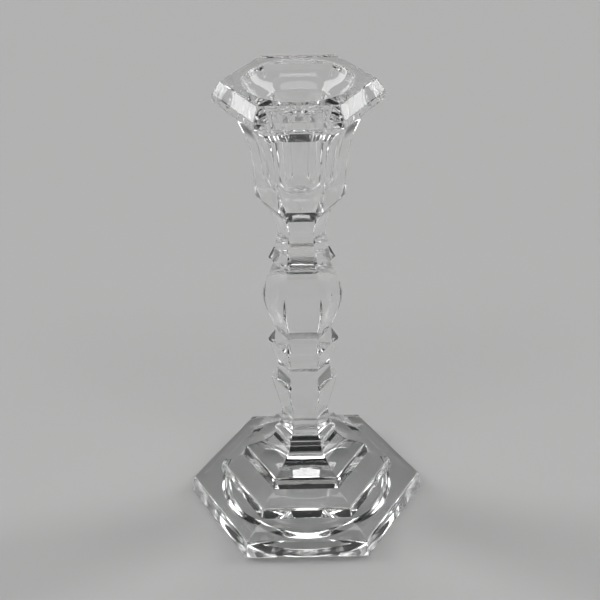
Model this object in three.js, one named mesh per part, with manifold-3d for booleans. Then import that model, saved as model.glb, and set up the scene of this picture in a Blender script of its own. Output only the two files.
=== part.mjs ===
// Hexagonal pressed-glass candlestick.
//
// Millimetres, +Z up, origin at the centre of the foot's underside. Every member is six-sided,
// with corners on +X and -X and flats facing +Y and -Y. A "corner" size is the distance from the
// axis to a corner, and a "radius" is that of a round hollow. The members meet face to face: on a
// real candlestick of this kind they are fused into one continuous piece of glass.

import * as THREE from 'three';
import { mergeVertices } from 'three/addons/utils/BufferGeometryUtils.js';
import Module from 'manifold-3d';

const wasm = await Module();
wasm.setup();

// ---- driving dimensions ---------------------------------------------------------------------

const SIDES = 6;
const ROUND_SIDES = 64;
const CURVE_STEPS = 12;
const LIP_STEPS = 4;
const OVERSHOOT = 2.0;

// Heights above the table, and the distance from the axis to a corner at each of them.
const foot = {
  corner: 57.0,
  plateEdge: { z: 8.7, corner: 55.8 },
  lowerStepBase: { z: 12.6, corner: 42.1 },
  lowerStepEdge: { z: 17.8, corner: 41.4 },
  upperStepBase: { z: 21.7, corner: 30.45 },
  upperStepEdge: { z: 27.5, corner: 29.5 },
  riserBase: { z: 29.0, corner: 24.8 },
  riserMiddle: { z: 32.0, corner: 17.9 },
  riserTop: { z: 36.0, corner: 14.2 },
  softEdge: 0.7,
};

const stem = {
  flangeEdge: { z: 39.4, corner: 14.7 },
  flangeLedge: { z: 41.4, corner: 12.5 },
  flangeTop: { z: 43.0, corner: 11.8 },
  waist: { z: 49.0, corner: 11.05 },
  lowerKnopBase: { z: 51.4, corner: 11.2 },
  lowerKnopEdge: { z: 68.6, corner: 15.4 },
  upperKnopBase: { z: 73.7, corner: 12.2 },
  upperKnopFillet: { z: 76.7, corner: 12.0 },
  upperKnopTaper: { z: 79.5, corner: 12.4 },
  upperKnopEdge: { z: 89.5, corner: 16.2 },
  balusterBase: { z: 95.5, corner: 12.7 },
  balusterTaper: { z: 98.5, corner: 13.7 },
  balusterBelly: { z: 113.6, corner: 18.05 },
  collarBase: { z: 130.1, corner: 12.65 },
  collarEdge: { z: 132.6, corner: 14.9 },
  collarTop: { z: 138.0, corner: 12.1 },
  neck: { z: 146.0, corner: 10.44 },
  knopLand: 1.0,
};

const cup = {
  base: { z: 156.0, corner: 13.2 },
  knuckle: { z: 163.0, corner: 19.4 },
  wallMiddle: { z: 178.8, corner: 20.4 },
  wallUpper: { z: 190.0, corner: 22.6 },
  rimBase: { z: 197.6, corner: 25.6 },
  rimLowerEdge: { z: 206.8, corner: 35.7 },
  rimUpperEdge: { z: 209.7, corner: 35.6 },
  top: { z: 215.3, corner: 31.9 },
};

// Round hollows: the candle socket with its flared dish, and the recess pressed under the foot.
const socket = {
  dish: { z: cup.top.z, radius: 23.2 },
  dishMiddle: { z: 209.6, radius: 19.8 },
  mouth: { z: 205.2, radius: 14.8 },
  upper: { z: 193.4, radius: 11.7 },
  middle: { z: 183.0, radius: 10.75 },
  low: { z: 176.0, radius: 10.25 },
  shoulder: { z: 171.2, radius: 9.95 },
  floor: { z: 167.0, radius: 2.8 },
  lip: 0.8,
  shoulderRound: 3.0,
};

const recess = {
  mouth: { z: 0, radius: 40.4 },
  wallTop: { z: 7.2, radius: 39.5 },
  domeMiddle: { z: 8.2, radius: 21.0 },
  crown: { z: 9.0, radius: 0 },
  lip: 1.0,
  fillet: 3.0,
};

// ---- outlines and solids --------------------------------------------------------------------

// A point of an outline: x is the distance from the axis and y is the height.
function point({ z, corner, radius = corner }) {
  return new THREE.Vector2(radius, z);
}

function softened({ z, corner }) {
  return [
    new THREE.Vector2(corner, z - foot.softEdge),
    new THREE.Vector2(corner - foot.softEdge, z),
  ];
}

function landed({ z, corner }) {
  const half = stem.knopLand / 2;
  return [new THREE.Vector2(corner, z - half), new THREE.Vector2(corner, z + half)];
}

function curved(...places) {
  return new THREE.SplineCurve(places.map(point)).getPoints(CURVE_STEPS);
}

// Rounds the corner of an outline, starting and ending the given size away from it.
function eased(before, corner, after, size) {
  const towards = (place) => place.clone().sub(corner).setLength(size).add(corner);
  const arc = new THREE.QuadraticBezierCurve(towards(before), corner, towards(after));
  return arc.getPoints(LIP_STEPS);
}

// Merges the shared corners and drops the flat triangles that a lathe leaves on its axis.
function closedShell(geometry) {
  const bare = new THREE.BufferGeometry();
  bare.setAttribute('position', geometry.getAttribute('position'));
  bare.setIndex(geometry.getIndex());
  const merged = mergeVertices(bare);
  const corners = merged.getIndex().array;
  const kept = [];
  for (let i = 0; i < corners.length; i += 3) {
    const [a, b, c] = corners.slice(i, i + 3);
    if (a !== b && b !== c && c !== a) kept.push(a, b, c);
  }
  merged.setIndex(kept);
  return merged;
}

// Turns an outline, which runs upwards, about the axis and closes it with flat ends.
function turned(outline, sides) {
  const bottom = new THREE.Vector2(0, outline[0].y);
  const top = new THREE.Vector2(0, outline.at(-1).y);
  const lathe = new THREE.LatheGeometry([bottom, ...outline, top], sides, Math.PI / 2);
  lathe.rotateX(Math.PI / 2);
  return closedShell(lathe);
}

function toSolid(geometry) {
  return new wasm.Manifold(new wasm.Mesh({
    numProp: 3,
    vertProperties: new Float32Array(geometry.getAttribute('position').array),
    triVerts: new Uint32Array(geometry.getIndex().array),
  }));
}

function cutBy(body, cutter) {
  const { vertProperties, triVerts } = toSolid(body).subtract(toSolid(cutter)).getMesh();
  const geometry = new THREE.BufferGeometry();
  geometry.setAttribute('position', new THREE.BufferAttribute(vertProperties, 3));
  geometry.setIndex(new THREE.BufferAttribute(triVerts, 1));
  return geometry;
}

// ---- cutters --------------------------------------------------------------------------------

function socketCutter() {
  const floor = point(socket.floor);
  const low = point(socket.low);
  const mouth = point(socket.mouth);
  const edge = point(socket.dish);
  const rimFlat = new THREE.Vector2(cup.top.corner, socket.dish.z);
  const above = new THREE.Vector2(socket.dish.radius + socket.lip, socket.dish.z + OVERSHOOT);
  const bore = curved(socket.low, socket.middle, socket.upper, socket.mouth).slice(0, -1);
  const bowl = curved(socket.mouth, socket.dishMiddle, socket.dish).slice(1, -1);
  return turned([
    floor,
    ...eased(floor, point(socket.shoulder), low, socket.shoulderRound),
    ...bore,
    ...eased(bore.at(-1), mouth, bowl[0], socket.lip),
    ...bowl,
    ...eased(bowl.at(-1), edge, rimFlat, socket.lip),
    above,
  ], ROUND_SIDES);
}

function recessCutter() {
  const restingFlat = new THREE.Vector2(foot.corner, recess.mouth.z);
  const below = new THREE.Vector2(recess.mouth.radius + recess.lip, recess.mouth.z - OVERSHOOT);
  const edge = point(recess.mouth);
  const wallTop = point(recess.wallTop);
  const fillet = eased(edge, wallTop, point(recess.domeMiddle), recess.fillet);
  const dome = new THREE.SplineCurve([fillet.at(-1), point(recess.domeMiddle), point(recess.crown)]);
  return turned([
    below,
    ...eased(restingFlat, edge, wallTop, recess.lip),
    ...fillet,
    ...dome.getPoints(CURVE_STEPS).slice(1, -1),
  ], ROUND_SIDES);
}

// ---- members, from the table up -------------------------------------------------------------

const footPlate = turned([
  point({ z: 0, corner: foot.corner }),
  ...softened(foot.plateEdge),
  point(foot.lowerStepBase),
], SIDES);

const footLowerStep = turned([
  point(foot.lowerStepBase),
  ...softened(foot.lowerStepEdge),
  point(foot.upperStepBase),
], SIDES);

const footUpperStep = turned([
  point(foot.upperStepBase),
  ...softened(foot.upperStepEdge),
  ...curved(foot.riserBase, foot.riserMiddle, foot.riserTop),
], SIDES);

const stemFlange = turned([
  point(foot.riserTop),
  point(stem.flangeEdge),
  point(stem.flangeLedge),
  point(stem.flangeTop),
  point(stem.waist),
  point(stem.lowerKnopBase),
], SIDES);

const lowerKnop = turned([
  point(stem.lowerKnopBase),
  ...landed(stem.lowerKnopEdge),
  point(stem.upperKnopBase),
], SIDES);

const upperKnop = turned([
  point(stem.upperKnopBase),
  point(stem.upperKnopFillet),
  point(stem.upperKnopTaper),
  ...landed(stem.upperKnopEdge),
  point(stem.balusterBase),
], SIDES);

const baluster = turned([
  point(stem.balusterBase),
  ...curved(stem.balusterTaper, stem.balusterBelly, stem.collarBase),
], SIDES);

const neckCollar = turned([
  point(stem.collarBase),
  point(stem.collarEdge),
  ...curved(stem.collarTop, stem.neck, cup.base),
], SIDES);

const candleCup = turned([
  point(cup.base),
  point(cup.knuckle),
  ...curved(cup.knuckle, cup.wallMiddle, cup.wallUpper, cup.rimBase).slice(1),
], SIDES);

const dripRim = turned([
  point(cup.rimBase),
  point(cup.rimLowerEdge),
  point(cup.rimUpperEdge),
  point(cup.top),
], SIDES);

const members = {
  foot_plate: cutBy(footPlate, recessCutter()),
  foot_lower_step: footLowerStep,
  foot_upper_step: footUpperStep,
  stem_flange: stemFlange,
  lower_knop: lowerKnop,
  upper_knop: upperKnop,
  baluster,
  neck_collar: neckCollar,
  candle_cup: cutBy(candleCup, socketCutter()),
  drip_rim: cutBy(dripRim, socketCutter()),
};

// ---- the assembled candlestick --------------------------------------------------------------

const glass = new THREE.MeshStandardMaterial({
  color: 0xeef2f3,
  roughness: 0.03,
  metalness: 0,
  transparent: true,
  opacity: 0.35,
});

const candlestick = new THREE.Group();
for (const [name, geometry] of Object.entries(members)) {
  geometry.computeVertexNormals();
  const mesh = new THREE.Mesh(geometry, glass);
  mesh.name = name;
  candlestick.add(mesh);
}

export default candlestick;
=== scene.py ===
# %% [markdown]
# # A pressed-glass candlestick
# A tall six-sided candlestick in clear glass: a stepped foot, a stem of knops and a baluster, and a
# tapered cup under a wide faceted rim. The design frame gives every height and width. This lesson
# turns it into glass: soft fire-polished arrises, faces with the slight wave of an iron mould, a few
# trapped bubbles, and the light and floor that let clear glass be seen at all.

# %% Load the frame
import math
import random

import bmesh
import bpy
from mathutils import Matrix, Vector


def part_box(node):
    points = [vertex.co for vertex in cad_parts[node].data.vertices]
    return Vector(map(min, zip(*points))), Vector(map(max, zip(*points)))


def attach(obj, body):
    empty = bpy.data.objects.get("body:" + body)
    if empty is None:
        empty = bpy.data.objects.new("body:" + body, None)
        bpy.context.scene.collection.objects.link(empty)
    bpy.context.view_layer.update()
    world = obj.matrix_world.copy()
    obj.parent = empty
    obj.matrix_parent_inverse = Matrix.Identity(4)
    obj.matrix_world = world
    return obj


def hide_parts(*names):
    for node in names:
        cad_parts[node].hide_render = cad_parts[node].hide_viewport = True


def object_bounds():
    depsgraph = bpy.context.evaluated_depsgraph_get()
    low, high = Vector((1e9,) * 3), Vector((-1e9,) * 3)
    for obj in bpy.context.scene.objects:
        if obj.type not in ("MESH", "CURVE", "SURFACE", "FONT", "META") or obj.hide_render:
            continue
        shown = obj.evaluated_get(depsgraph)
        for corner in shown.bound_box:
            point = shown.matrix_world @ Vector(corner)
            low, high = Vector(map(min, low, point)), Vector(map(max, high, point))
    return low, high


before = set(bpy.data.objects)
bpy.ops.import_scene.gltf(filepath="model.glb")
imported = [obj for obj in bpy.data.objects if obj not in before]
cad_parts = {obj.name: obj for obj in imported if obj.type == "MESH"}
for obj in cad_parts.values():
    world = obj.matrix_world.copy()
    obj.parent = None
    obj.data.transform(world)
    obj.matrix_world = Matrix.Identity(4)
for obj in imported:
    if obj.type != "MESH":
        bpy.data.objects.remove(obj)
cad_low, cad_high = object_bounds()
MM = 0.001
AXIS_MIDDLE = (Vector(cad_low) + Vector(cad_high)) / 2
print("frame", len(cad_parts), "nodes,", round(cad_high[2] / MM, 1), "mm high")

# %% [markdown]
# ## Where we look from
# The candlestick is seen from well above its middle, through a long lens, so that the dish in its
# rim and the steps of its foot both show. A camera is easiest to place by what it looks at: an aim
# point near the middle of the stem, an angle above the table, and a distance. The roll is small.

# %% Camera
AIM = AXIS_MIDDLE + Vector((-1.2, 0, 2.4)) * MM
LOOKING_DOWN = math.radians(31.86)
TURN = math.radians(0.28)
ROLL = math.radians(-1.25)
DISTANCE = 548.3 * MM
LENS_MM = 73.0
NEAREST_SEEN = 10 * MM

bpy.ops.object.select_all(action="DESELECT")
bpy.ops.object.camera_add()
camera = bpy.context.object
camera.name = "camera"
camera.data.lens = LENS_MM
camera.data.clip_start = NEAREST_SEEN
out_from_aim = Vector((0, -math.cos(LOOKING_DOWN), math.sin(LOOKING_DOWN)))
camera.location = Matrix.Rotation(TURN, 3, "Z") @ (AIM + out_from_aim * DISTANCE)
looking = Matrix.Rotation(TURN, 3, "Z") @ -out_from_aim
facing = looking.to_track_quat("-Z", "Y").to_matrix() @ Matrix.Rotation(ROLL, 3, "Z")
camera.rotation_euler = facing.to_euler()
bpy.context.scene.camera = camera
print("camera", [round(c, 3) for c in camera.location])

# %% [markdown]
# ## A pale floor
# Clear glass only shows what is around it. A pale, matt sheet under it shows through the body, and
# its light comes back up through the foot. The sheet lies a hair below the foot: two surfaces at the
# very same height would fight, and the glass over them would turn black.

# %% Floor
FLOOR_SIZE = 20.0
AIR_UNDER_FOOT = 0.2 * MM
PALE_GREY = (0.60, 0.60, 0.595, 1)
MATT = 0.85
FAINT_SHEEN = 0.2


def floor_material():
    """A matt pale sheet with next to no shine."""
    material = bpy.data.materials.new("pale_floor")
    material.use_nodes = True
    shader = material.node_tree.nodes["Principled BSDF"]
    shader.inputs["Base Color"].default_value = PALE_GREY
    shader.inputs["Roughness"].default_value = MATT
    shader.inputs["Specular IOR Level"].default_value = FAINT_SHEEN
    return material


bpy.ops.object.select_all(action="DESELECT")
bpy.ops.mesh.primitive_plane_add(size=FLOOR_SIZE, location=(0, 0, cad_low[2] - AIR_UNDER_FOOT))
floor = bpy.context.object
floor.name = "floor"
floor.data.materials.append(floor_material())
print("floor", FLOOR_SIZE, "m wide,", round(AIR_UNDER_FOOT / MM, 1), "mm under the foot")

# %% [markdown]
# ## A plain studio
# A world colour lights from every side at once. Here it is a pale wall all round, up to a little
# above the horizon, and dark above that. The wall keeps the background plain from every side, and
# the dark ceiling is what draws the edges of the glass.

# %% Studio
WALL_GREY = (0.44, 0.44, 0.436, 1)
CEILING_GREY = (0.015, 0.0155, 0.016, 1)
WALL_TOP = math.sin(math.radians(2))
CEILING_STARTS = math.sin(math.radians(11))


def ramped(tree, value, start, end, low, high):
    """Turns a value that runs from start to end into one that runs from low to high."""
    ramp = tree.nodes.new("ShaderNodeMapRange")
    tree.links.new(value, ramp.inputs["Value"])
    ramp.inputs["From Min"].default_value = start
    ramp.inputs["From Max"].default_value = end
    ramp.inputs["To Min"].default_value = low
    ramp.inputs["To Max"].default_value = high
    return ramp.outputs["Result"]


def combined(tree, operation, first, second):
    """Joins two values by a sum, a product or whatever operation is named."""
    both = tree.nodes.new("ShaderNodeMath")
    both.operation = operation
    tree.links.new(first, both.inputs[0])
    tree.links.new(second, both.inputs[1])
    return both.outputs["Value"]


def along(tree, coordinates, direction):
    """How far the place or direction being shaded lies along a given direction."""
    place = tree.nodes.new("ShaderNodeTexCoord")
    product = tree.nodes.new("ShaderNodeVectorMath")
    product.operation = "DOT_PRODUCT"
    tree.links.new(place.outputs[coordinates], product.inputs[0])
    product.inputs[1].default_value = direction
    return product.outputs["Value"]


UP = Vector((0, 0, 1))
world = bpy.data.worlds.new("studio")
world.use_nodes = True
bpy.context.scene.world = world
studio = world.node_tree
room = studio.nodes["Background"]
shade = studio.nodes.new("ShaderNodeMix")
shade.data_type = "RGBA"
shade.inputs["A"].default_value = WALL_GREY
shade.inputs["B"].default_value = CEILING_GREY
rising = ramped(studio, along(studio, "Generated", UP), WALL_TOP, CEILING_STARTS, 0.0, 1.0)
studio.links.new(rising, shade.inputs["Factor"])
studio.links.new(shade.outputs["Result"], room.inputs["Color"])
print("room", len(studio.nodes), "nodes")

# %% [markdown]
# ## Soft light from four sides
# Glass is drawn by what it reflects and bends, so the lights matter more than its own material.
# Tall softboxes left and right draw the bright bands in the flats, a wide one behind lights the
# slopes of the steps, and one over the viewer's head comes back out of the wall of the hollow under
# the foot as a bright ring. Lamps near the glass would leave hot patches on the floor, so the
# softboxes are part of the world, endlessly far away. A direction is inside a softbox when it is on
# the inner side of all four of its edges. Each row below gives the angle round from +X, the angle
# above the table, how wide and how tall the box looks, and how bright it is.

# %% Softboxes
SOFT_EDGE = 0.02


def softbox(around, above, wide, tall, brightness):
    """A rectangle of light in the world, placed and sized by angles in degrees."""
    around, above = math.radians(around), math.radians(above)
    level = math.cos(above)
    middle = Vector((math.cos(around) * level, math.sin(around) * level, math.sin(above)))
    side = middle.cross(UP).normalized()
    upright = side.cross(middle)
    inside = None
    for edge, width in ((side, wide), (-side, wide), (upright, tall), (-upright, tall)):
        half = math.radians(width / 2)
        depth = along(studio, "Generated", middle * math.sin(half) - edge * math.cos(half))
        inside = combined(studio, "MINIMUM", inside, depth) if inside else depth
    return ramped(studio, inside, 0.0, SOFT_EDGE, 0.0, brightness)


SOFTBOXES = {
    "left": (158, 31, 20, 46, 6.0),
    "right": (22, 31, 20, 46, 5.5),
    "behind": (90, 60, 42, 15, 4.6),
    "overhead": (270, 60, 68, 17, 2.9),
}
light = None
for box in SOFTBOXES.values():
    one = softbox(*box)
    light = combined(studio, "ADD", light, one) if light else one
lamps = studio.nodes.new("ShaderNodeBackground")
studio.links.new(light, lamps.inputs["Strength"])
whole = studio.nodes.new("ShaderNodeAddShader")
studio.links.new(room.outputs["Background"], whole.inputs[0])
studio.links.new(lamps.outputs["Background"], whole.inputs[1])
studio.links.new(whole.outputs["Shader"], studio.nodes["World Output"].inputs["Surface"])
bpy.context.scene.view_settings.view_transform = "Standard"
print("softboxes", ", ".join(SOFTBOXES))

# %% [markdown]
# ## Light through glass
# A ray that enters a faceted solid bounces many times before it leaves. With too few bounces it
# ends inside and the glass turns black, so the limits are raised.

# %% Light paths
BOUNCES_IN_GLASS = 40
MIRROR_BOUNCES = 16
OPEN_FACES_CROSSED = 64

cycles = bpy.context.scene.cycles
cycles.max_bounces = BOUNCES_IN_GLASS
cycles.transmission_bounces = BOUNCES_IN_GLASS
cycles.glossy_bounces = MIRROR_BOUNCES
cycles.transparent_max_bounces = OPEN_FACES_CROSSED
print("bounces", cycles.max_bounces, "open faces", cycles.transparent_max_bounces)

# %% [markdown]
# ## Clear pressed glass
# The metal, as glassmakers call it, is colourless with the faintest grey-green in its depth. Its
# faces were polished by fire and not by a wheel, so they are bright but never quite flat. Two waves
# of bump say so: a long shallow one left by the iron mould, and a finer ripple from the reheating.
# Their heights are real heights in metres. Handling leaves a faint uneven haze, and a lifetime of
# being set down leaves the lowest half millimetre scuffed, so the roughness is not even either.

# %% Glass
GLASS_IOR = 1.52
GLASS_TINT = (0.988, 0.993, 0.990, 1)
MOULD_WAVES_PER_METRE = 48
MOULD_WAVE_HEIGHT = 0.10 * MM
RIPPLES_PER_METRE = 300
RIPPLE_HEIGHT = 0.010 * MM
HAZE_PATCHES_PER_METRE = 70
MOST_HAZE = 0.05
SCRATCHES_PER_METRE = 1500
MOST_SCUFF = 0.16
SCUFFED_BELOW = 0.1 * MM
SCUFFS_END = 0.6 * MM


def noise(tree, scale, detail):
    """Cloudy noise that stays fixed to the glass, with about so many clouds to the metre."""
    place = tree.nodes.new("ShaderNodeTexCoord")
    cloud = tree.nodes.new("ShaderNodeTexNoise")
    cloud.inputs["Scale"].default_value = scale
    cloud.inputs["Detail"].default_value = detail
    tree.links.new(place.outputs["Object"], cloud.inputs["Vector"])
    return cloud.outputs["Fac"]


def waved(tree, scale, height, under=None):
    """A bump of noise of a real height, laid over another bump if one is given."""
    bump = tree.nodes.new("ShaderNodeBump")
    bump.inputs["Strength"].default_value = 1.0
    bump.inputs["Distance"].default_value = height
    tree.links.new(noise(tree, scale, 1.0), bump.inputs["Height"])
    if under:
        tree.links.new(under, bump.inputs["Normal"])
    return bump.outputs["Normal"]


def clear_glass():
    """The one glass that every member is made of."""
    material = bpy.data.materials.new("clear_glass")
    material.use_nodes = True
    tree = material.node_tree
    shader = tree.nodes["Principled BSDF"]
    shader.inputs["Base Color"].default_value = GLASS_TINT
    shader.inputs["Transmission Weight"].default_value = 1.0
    shader.inputs["IOR"].default_value = GLASS_IOR
    mould_wave = waved(tree, MOULD_WAVES_PER_METRE, MOULD_WAVE_HEIGHT)
    fire_ripple = waved(tree, RIPPLES_PER_METRE, RIPPLE_HEIGHT, mould_wave)
    tree.links.new(fire_ripple, shader.inputs["Normal"])
    haze = ramped(tree, noise(tree, HAZE_PATCHES_PER_METRE, 3), 0.45, 0.75, 0.0, MOST_HAZE)
    above_table = along(tree, "Object", UP)
    near_table = ramped(tree, above_table, SCUFFED_BELOW, SCUFFS_END, MOST_SCUFF, 0.0)
    scratches = ramped(tree, noise(tree, SCRATCHES_PER_METRE, 4), 0.45, 0.65, 0.3, 1.0)
    scuffs = combined(tree, "MULTIPLY", near_table, scratches)
    tree.links.new(combined(tree, "ADD", haze, scuffs), shader.inputs["Roughness"])
    return material


GLASS = clear_glass()
print(GLASS.name, len(GLASS.node_tree.nodes), "nodes")

# %% [markdown]
# ## A fused join
# The real candlestick is one piece of glass, divided here where a glassmaker names its members.
# Where two members meet, light must pass as if nothing were there. A face of glass would act as
# a window, bending and mirroring, so the faces that meet get a wholly open surface instead.

# %% Fused join
def fused_join():
    """A surface that isn't there as far as light is concerned."""
    material = bpy.data.materials.new("fused_join")
    material.use_nodes = True
    material.node_tree.nodes["Principled BSDF"].inputs["Alpha"].default_value = 0.0
    return material


FUSED = fused_join()
print(FUSED.name, "lets all light pass")

# %% [markdown]
# ## Reading the design's outline
# Every member is six-sided with a corner on +X, so the corner points on that side are its outline.
# A corner of a six-sided ring has a twin a sixth of a turn round. A round hollow's points have no
# such twin, because its ring has another number of sides, which tells the two apart.

# %% Outlines from the frame
SAME_PLACE = 2e-6
TWIN_WITHIN = 1e-5


def outlines(node):
    """The (height, reach) points of a member's six-sided outside and of its round hollow."""
    points = {tuple(round(c, 7) for c in v.co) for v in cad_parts[node].data.vertices}
    sixth = Matrix.Rotation(math.radians(60), 3, "Z")
    corners, rounds = [], []
    for x, y, z in points:
        if abs(y) > SAME_PLACE or x < SAME_PLACE:
            continue
        twin = sixth @ Vector((x, y, z))
        found = any((Vector(p) - twin).length < TWIN_WITHIN for p in points)
        (corners if found else rounds).append((z, x))
    return sorted(corners), sorted(rounds)


def base_of(node):
    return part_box(node)[0].z


def top_of(node):
    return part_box(node)[1].z


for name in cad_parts:
    six, turned = outlines(name)
    print(name, "six-sided rings", len(six), "round rings", len(turned))

# %% [markdown]
# ## Finer curves
# The design frame says a curve with a dozen straight steps, which is enough to test it and too few
# to look at. Where an outline turns only a little at each point it is a curve, so more points are
# laid between, on a smooth line through the given ones. Where it turns sharply it is a crease, and
# a crease stays where it is.

# %% Rounder outlines
CREASE = math.radians(11)
FINER = 4


def turn_at(before, here, after):
    """How far the outline turns at a point, in radians."""
    first = math.atan2(here[0] - before[0], here[1] - before[1])
    second = math.atan2(after[0] - here[0], after[1] - here[1])
    return abs(math.remainder(second - first, math.tau))


def between(points, share):
    """A point on the smooth line through four points, between the second and the third."""
    p0, p1, p2, p3 = (Vector(p) for p in points)
    bend = (2 * p0 - 5 * p1 + 4 * p2 - p3) * share ** 2 + (3 * p1 - p0 - 3 * p2 + p3) * share ** 3
    return tuple((2 * p1 + (p2 - p0) * share + bend) / 2)


def rounder(outline):
    """The same outline with more points wherever it is a curve."""
    last = len(outline) - 1
    soft = [0 < i < last and turn_at(*outline[i - 1:i + 2]) < CREASE for i in range(last + 1)]
    finer = [outline[0]]
    for i in range(last):
        before = outline[i - 1] if soft[i] else outline[i]
        after = outline[i + 2] if soft[i + 1] else outline[i + 1]
        if soft[i] or soft[i + 1]:
            four = (before, outline[i], outline[i + 1], after)
            finer += [between(four, step / FINER) for step in range(1, FINER)]
        finer.append(outline[i + 1])
    return finer


print("baluster", len(outlines("baluster")[0]), "->", len(rounder(outlines("baluster")[0])), "rings")

# %% [markdown]
# ## Growing a member
# A member could be a stack of cones, but one face grown upwards is cleaner: start with a filled
# six-sided circle, extrude it to the next height and scale it to the next width, and so on up the
# outline. The result is closed, with nothing to weld.

# %% Growing
ROUND_SIDES = 96


def only(piece):
    """Selects one object and nothing else."""
    bpy.ops.object.select_all(action="DESELECT")
    piece.select_set(True)
    bpy.context.view_layer.objects.active = piece


def grow(name, outline, sides):
    """Extrudes a filled circle up an outline, which makes one closed shape."""
    height, reach = outline[0]
    bpy.ops.object.select_all(action="DESELECT")
    bpy.ops.mesh.primitive_circle_add(
        vertices=sides, radius=reach, fill_type="NGON",
        location=(0, 0, height), rotation=(0, 0, math.radians(90)),
    )
    piece = bpy.context.object
    piece.name = name
    bpy.ops.object.transform_apply(location=True, rotation=True, scale=True)
    bpy.ops.object.mode_set(mode="EDIT")
    bpy.ops.mesh.select_all(action="SELECT")
    for next_height, next_reach in outline[1:]:
        bpy.ops.mesh.extrude_region_move(
            TRANSFORM_OT_translate={"value": (0, 0, next_height - height)}
        )
        ratio = next_reach / reach
        bpy.ops.transform.resize(value=(ratio, ratio, 1), center_override=(0, 0, next_height))
        height, reach = next_height, next_reach
    bpy.ops.mesh.select_all(action="SELECT")
    bpy.ops.mesh.normals_make_consistent(inside=False)
    bpy.ops.object.mode_set(mode="OBJECT")
    return piece


# %% [markdown]
# ## Soft arrises
# An arris is the line where two faces meet. Hot glass never keeps it sharp, and the small round it
# leaves is what catches the light along every edge. A bevel makes it. Around a fused face the edge
# has to stay whole, or the two members would no longer meet, so those edges are passed over.

# %% Softening
ARRIS = 0.45 * MM
ARRIS_STEPS = 4


def soften(piece, joins):
    """Rounds every sharp edge but those round a fused face."""
    only(piece)
    bpy.ops.object.mode_set(mode="EDIT")
    bpy.ops.mesh.select_mode(type="EDGE")
    bpy.ops.mesh.select_all(action="DESELECT")
    shape = bmesh.from_edit_mesh(piece.data)
    for edge in shape.edges:
        heights = {round(v.co.z, 6) for v in edge.verts}
        on_join = len(heights) == 1 and any(abs(h - j) < SAME_PLACE for h in heights for j in joins)
        if not on_join and edge.calc_face_angle() > CREASE:
            edge.select_set(True)
    bmesh.update_edit_mesh(piece.data)
    bpy.ops.mesh.bevel(offset=ARRIS, segments=ARRIS_STEPS, affect="EDGES", clamp_overlap=True)
    bpy.ops.object.mode_set(mode="OBJECT")


# %% [markdown]
# ## Cutting a round hollow
# On the real piece a round plunger pressed these hollows while the glass was soft. Here the plunger
# is grown from the round outline in the same way, and a boolean takes it out of the glass. It runs
# past the piece at every end where the hollow is open, so that no thin skin is left.

# %% Cutting
PAST = 2 * MM


def cut(piece, outline, below=0.0, above=0.0):
    """Takes a round hollow out of a piece, running past it by so much below and above."""
    if below:
        outline = [(outline[0][0] - below, outline[0][1])] + outline
    if above:
        outline = outline + [(outline[-1][0] + above, outline[-1][1])]
    plunger = grow("plunger", outline, ROUND_SIDES)
    only(piece)
    hollow = piece.modifiers.new("hollow", "BOOLEAN")
    hollow.operation = "DIFFERENCE"
    hollow.object = plunger
    hollow.solver = "EXACT"
    bpy.ops.object.modifier_apply(modifier="hollow")
    bpy.data.objects.remove(plunger)


# %% [markdown]
# ## Trapped bubbles
# Pressed glass nearly always holds a few seeds, bubbles well under a millimetre that the press drew
# out a little. A seed is a void, so it is a small closed skin turned inside out: its faces point
# into the bubble, which is outwards from the glass. A fixed random number keeps them in place.

# %% Seeds
SEED_SIZES = (0.35 * MM, 0.75 * MM)
SEED_STRETCH = (1.0, 1.7)
chance = random.Random(11)


def trap_seed(piece, height, reach):
    """Traps one bubble near a height, at a chance direction and up to the given reach."""
    around = chance.uniform(0, math.tau)
    out = reach * math.sqrt(chance.random())
    bpy.ops.object.select_all(action="DESELECT")
    bpy.ops.mesh.primitive_ico_sphere_add(
        subdivisions=3, radius=chance.uniform(*SEED_SIZES) / 2,
        location=(out * math.cos(around), out * math.sin(around), height),
    )
    seed = bpy.context.object
    seed.scale.z = chance.uniform(*SEED_STRETCH)
    bpy.ops.object.transform_apply(location=True, rotation=True, scale=True)
    bpy.ops.object.mode_set(mode="EDIT")
    bpy.ops.mesh.select_all(action="SELECT")
    bpy.ops.mesh.flip_normals()
    bpy.ops.object.mode_set(mode="OBJECT")
    piece.select_set(True)
    bpy.context.view_layer.objects.active = piece
    bpy.ops.object.join()


# %% [markdown]
# ## Finishing a member
# The last step is the same for all ten. Level faces at a join height get the open surface and all
# the others get the glass. Faces that meet at less than the given angle are shaded as one surface,
# and weighted normals keep the flats flat beside their rounded arrises.

# %% Finishing
SMOOTH_BELOW = math.radians(38)
LEVEL = math.cos(math.radians(2.5))
STRONGEST = 100


def finish(piece, joins):
    """Gives a piece its two surfaces and its shading."""
    piece.data.materials.clear()
    piece.data.materials.append(GLASS)
    piece.data.materials.append(FUSED)
    for face in piece.data.polygons:
        level = abs(face.normal.z) > LEVEL
        on_join = level and any(abs(face.center.z - j) < SAME_PLACE for j in joins)
        face.material_index = 1 if on_join else 0
    only(piece)
    bpy.ops.object.shade_smooth_by_angle(angle=SMOOTH_BELOW)
    even = piece.modifiers.new("even", "WEIGHTED_NORMAL")
    even.keep_sharp = True
    even.weight = STRONGEST
    bpy.ops.object.modifier_apply(modifier="even")


def member(node, joins, hollow=None, seeds=()):
    """Makes one member of the candlestick in glass and sets it in place of its plain solid."""
    six, turned = outlines(node)
    piece = grow(node + "_glass", rounder(six), 6)
    soften(piece, joins)
    if hollow:
        cut(piece, rounder(turned), **hollow)
    for height, reach in seeds:
        trap_seed(piece, height, reach)
    finish(piece, joins)
    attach(piece, "root")
    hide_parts(node)
    print(piece.name, len(piece.data.polygons), "faces")
    return piece


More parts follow.
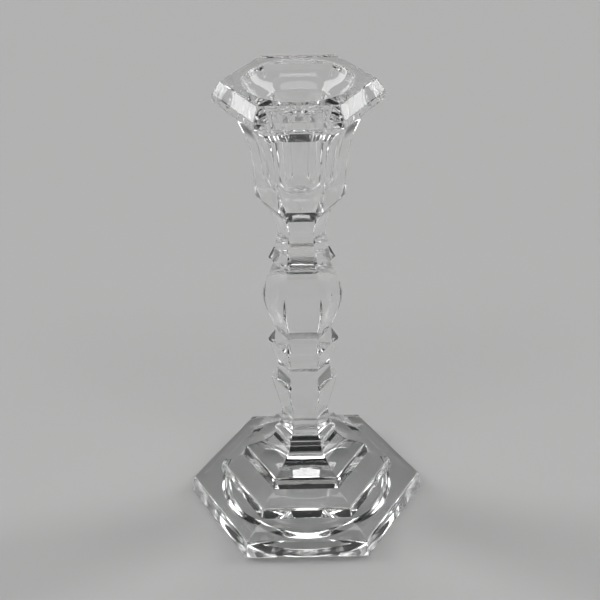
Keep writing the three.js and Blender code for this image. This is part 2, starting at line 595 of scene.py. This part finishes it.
# %% [markdown]
# ## The foot plate
# A broad six-sided plate stands on the table on a flat rim, with a wide round hollow pressed under
# it. The hollow's wall is nearly upright with a round at its top. Seen from above, that wall sends
# light from overhead back to the eye, which makes the bright ring in the foot.

# %% Foot plate
member("foot_plate", [top_of("foot_plate")], {"below": PAST})

# %% [markdown]
# ## The two steps of the foot
# Each step is a low six-sided block with a nearly upright edge and a sloping top. The upper one
# then sweeps up to the stem in a hollow curve. They are thick, and thick glass is where seeds show.

# %% Foot steps
STEP_SEEDS = 4
BELOW_MIDDLE = 3 * MM
LOWER_STEP_REACH = 26 * MM
UPPER_STEP_REACH = 18 * MM
lower_middle = (base_of("foot_lower_step") + top_of("foot_lower_step")) / 2
upper_middle = (base_of("foot_upper_step") + top_of("foot_upper_step")) / 2
member(
    "foot_lower_step", [base_of("foot_lower_step"), top_of("foot_lower_step")],
    seeds=[(lower_middle, LOWER_STEP_REACH)] * STEP_SEEDS,
)
member(
    "foot_upper_step", [base_of("foot_upper_step"), top_of("foot_upper_step")],
    seeds=[(upper_middle - BELOW_MIDDLE, UPPER_STEP_REACH)] * STEP_SEEDS,
)

# %% [markdown]
# ## The flange and the two knops
# Above the foot the stem stands on a small stepped flange. Two knops follow, each widening upwards
# to a sharp shoulder and then drawn in, like one beaker standing in another. Their shoulders carry
# a narrow upright land, which reads as a fine bright line.

# %% Flange and knops
for node in ("stem_flange", "lower_knop", "upper_knop"):
    member(node, [base_of(node), top_of(node)])

# %% [markdown]
# ## The baluster
# The swelling of the stem has no crease from end to end: six long faces curve out to the belly and
# back. It acts as a strong lens and gathers the whole room into each face, so its outline is the
# one that gains most from the finer curve.

# %% Baluster
belly = (base_of("baluster") + top_of("baluster")) / 2
member("baluster", [base_of("baluster"), top_of("baluster")], seeds=[(belly, 9 * MM)] * 2)

# %% [markdown]
# ## The collar and neck
# A sharp little collar sits on the baluster, and the neck above it is drawn in and flares again to
# carry the cup.

# %% Collar and neck
member("neck_collar", [base_of("neck_collar"), top_of("neck_collar")])

# %% [markdown]
# ## The cup
# The cup widens upwards from a knuckle, six-sided outside and round inside, where the plunger made
# the tapered socket with its shallow pointed bottom. Between the flat faces and the round socket
# the light is bent into the upright lines that look like flutes.

# %% Cup
CUP_BASE_SEED = (base_of("candle_cup") + 6 * MM, 8 * MM)
member(
    "candle_cup", [base_of("candle_cup"), top_of("candle_cup")], {"above": PAST},
    seeds=[CUP_BASE_SEED] * 2,
)

# %% [markdown]
# ## The drip rim
# The wide rim has an undercut slope below, a narrow upright edge and a slope above, and a round
# dish inside that catches the wax and leads the candle into the socket.

# %% Drip rim
member("drip_rim", [base_of("drip_rim")], {"below": PAST, "above": PAST})
